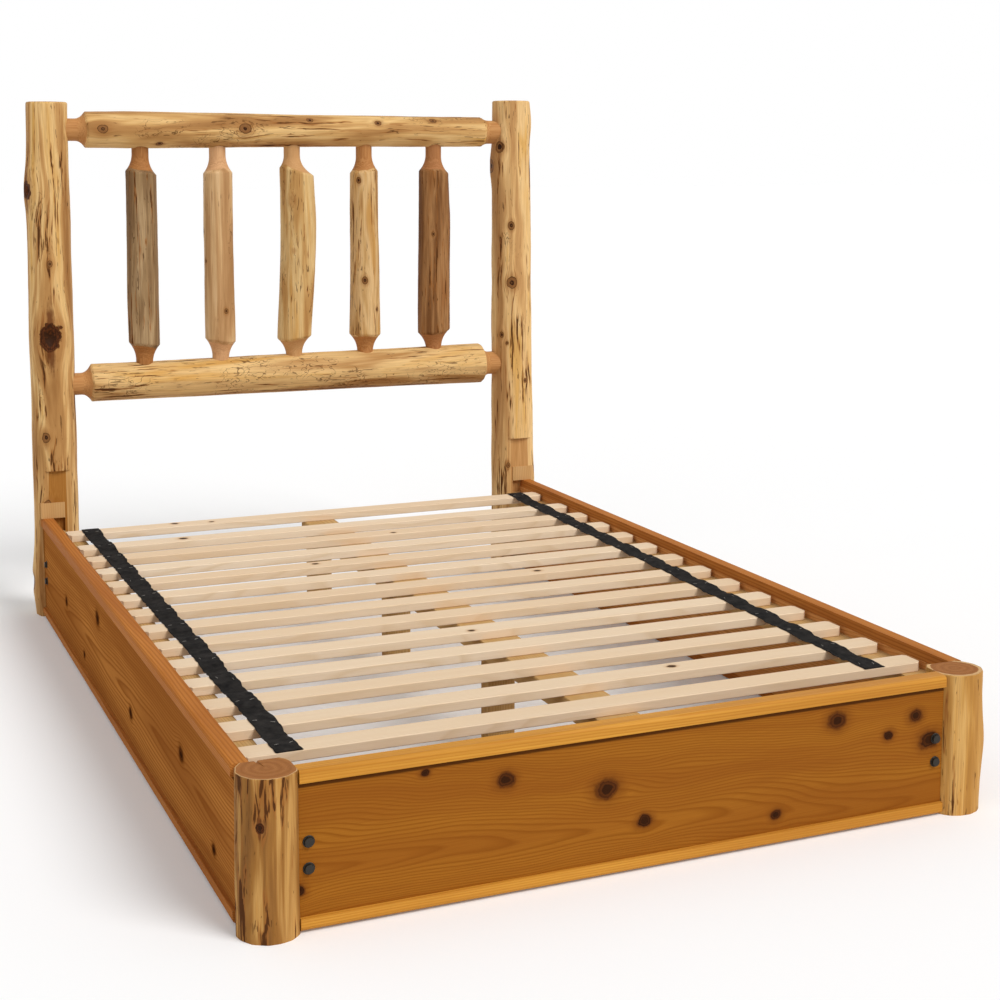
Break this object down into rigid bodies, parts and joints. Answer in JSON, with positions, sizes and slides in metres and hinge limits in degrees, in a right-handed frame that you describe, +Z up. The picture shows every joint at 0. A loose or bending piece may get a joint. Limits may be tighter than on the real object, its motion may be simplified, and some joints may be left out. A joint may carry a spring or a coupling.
{
  "type": "log bed frame",
  "caption": "Rustic peeled-log platform bed frame: tall log headboard with round-tenoned spindles, low boarded rim on short log posts, and a strapped slat roll on ledgers.",
  "frame": {"origin": "on the floor, midway between the axes of the four posts, which is within a few millimetres of the bounding box's bottom centre", "axes": "+Z up, +Y from the foot board to the headboard, X across the bed with +X to the sleeper's side that is on the right in a view from the foot"},
  "size_m": [1.5394, 2.2213, 1.434],
  "materials": {
    "post_wood": "satin",
    "rail_wood": "satin",
    "spindle_wood": "satin",
    "cedar_board": "satin",
    "trim_wood": "satin",
    "slat_wood": "matte",
    "frame_wood": "matte",
    "webbing": "matte",
    "black_steel": "satin"
  },
  "bodies": {
    "root": {"beam_seat": "frame_wood", "center_beam": "frame_wood", "center_leg_1": "frame_wood", "center_leg_2": "frame_wood", "center_leg_3": "frame_wood", "foot_bottom_trim": "trim_wood", "foot_cleat_left": "frame_wood", "foot_cleat_right": "frame_wood", "foot_panel": "cedar_board", "foot_post_left": "post_wood", "foot_post_right": "post_wood", "foot_top_trim": "trim_wood", "head_block_left": "frame_wood", "head_block_right": "frame_wood", "head_cleat_left": "frame_wood", "head_cleat_right": "frame_wood", "headboard_bottom_rail": "rail_wood", "headboard_top_rail": "rail_wood", "lag_bolts": "black_steel", "ledger_left": "frame_wood", "ledger_right": "frame_wood", "side_bottom_trim_left": "trim_wood", "side_bottom_trim_right": "trim_wood", "side_foot_cleat_left": "frame_wood", "side_foot_cleat_right": "frame_wood", "side_panel_left": "cedar_board", "side_panel_right": "cedar_board", "side_top_trim_left": "trim_wood", "side_top_trim_right": "trim_wood", "slat_01": "slat_wood", "slat_02": "slat_wood", "slat_03": "slat_wood", "slat_04": "slat_wood", "slat_05": "slat_wood", "slat_06": "slat_wood", "slat_07": "slat_wood", "slat_08": "slat_wood", "slat_09": "slat_wood", "slat_10": "slat_wood", "slat_11": "slat_wood", "slat_12": "slat_wood", "slat_13": "slat_wood", "slat_14": "slat_wood", "spindle_1": "spindle_wood", "spindle_2": "spindle_wood", "spindle_3": "spindle_wood", "spindle_4": "spindle_wood", "spindle_5": "spindle_wood", "strap_left": "webbing", "strap_right": "webbing", "tall_post_left": "post_wood", "tall_post_right": "post_wood"}
  },
  "joints": []
}
